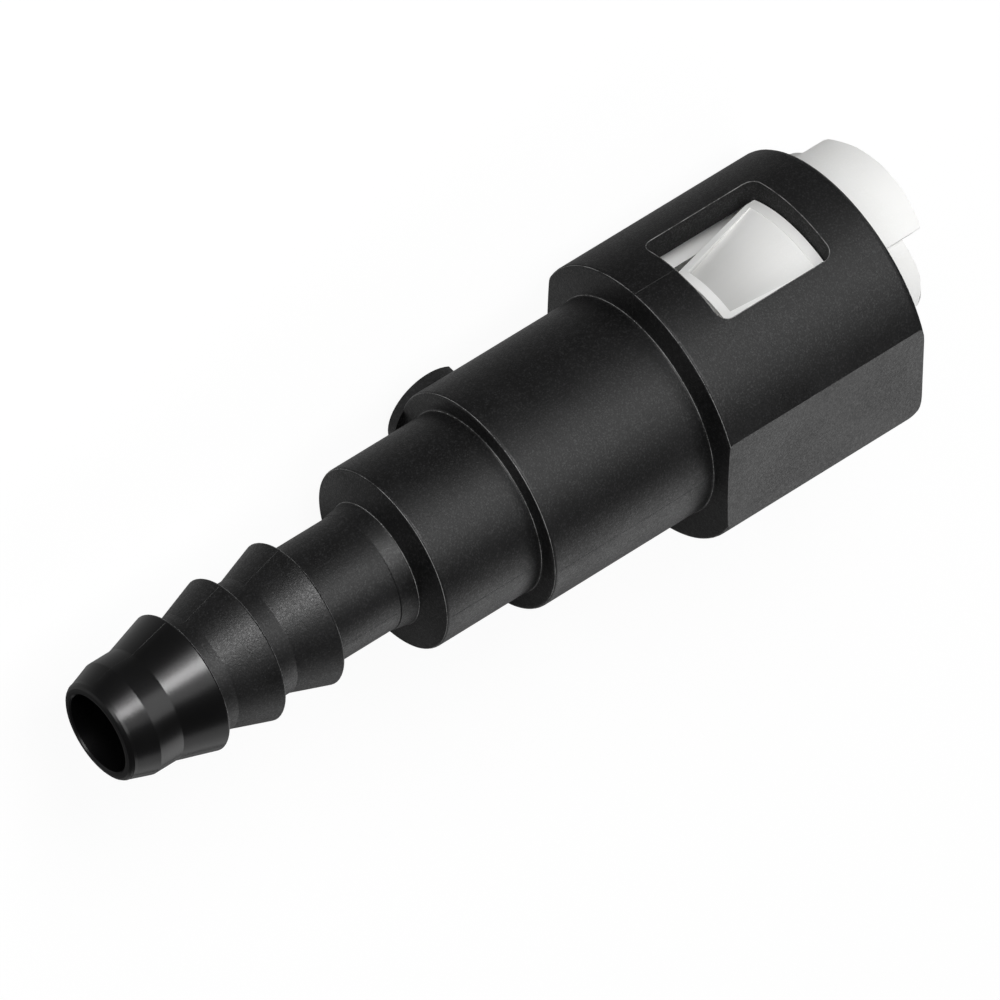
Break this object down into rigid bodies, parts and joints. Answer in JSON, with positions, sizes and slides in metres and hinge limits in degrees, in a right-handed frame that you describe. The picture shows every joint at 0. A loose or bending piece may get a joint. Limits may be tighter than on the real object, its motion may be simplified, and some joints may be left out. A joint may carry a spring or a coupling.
{
  "type": "hose barb to push-on tube socket adapter",
  "caption": "Straight moulded adapter with a fir-tree hose barb, stepped body and a latching push-on socket for a beaded tube.",
  "frame": {"origin": "centre of the hose barb's front face, on the bore axis", "axes": "+X along the axis from the barb tip to the mouth of the socket, windows facing +Y and -Y, flats facing +Z and -Z"},
  "size_m": [0.0641, 0.02, 0.0184],
  "materials": {
    "housing_nylon": "fine spark-eroded grain, polished at the nose",
    "retainer_acetal": "satin, faintly translucent white",
    "guide_nylon": "satin dark grey",
    "seal_rubber": "matt dark green"
  },
  "bodies": {
    "root": {"housing": "housing_nylon", "retainer": "retainer_acetal", "bushing": "guide_nylon", "outer_o_ring": "seal_rubber", "spacer_ring": "guide_nylon", "inner_o_ring": "seal_rubber"}
  },
  "joints": []
}
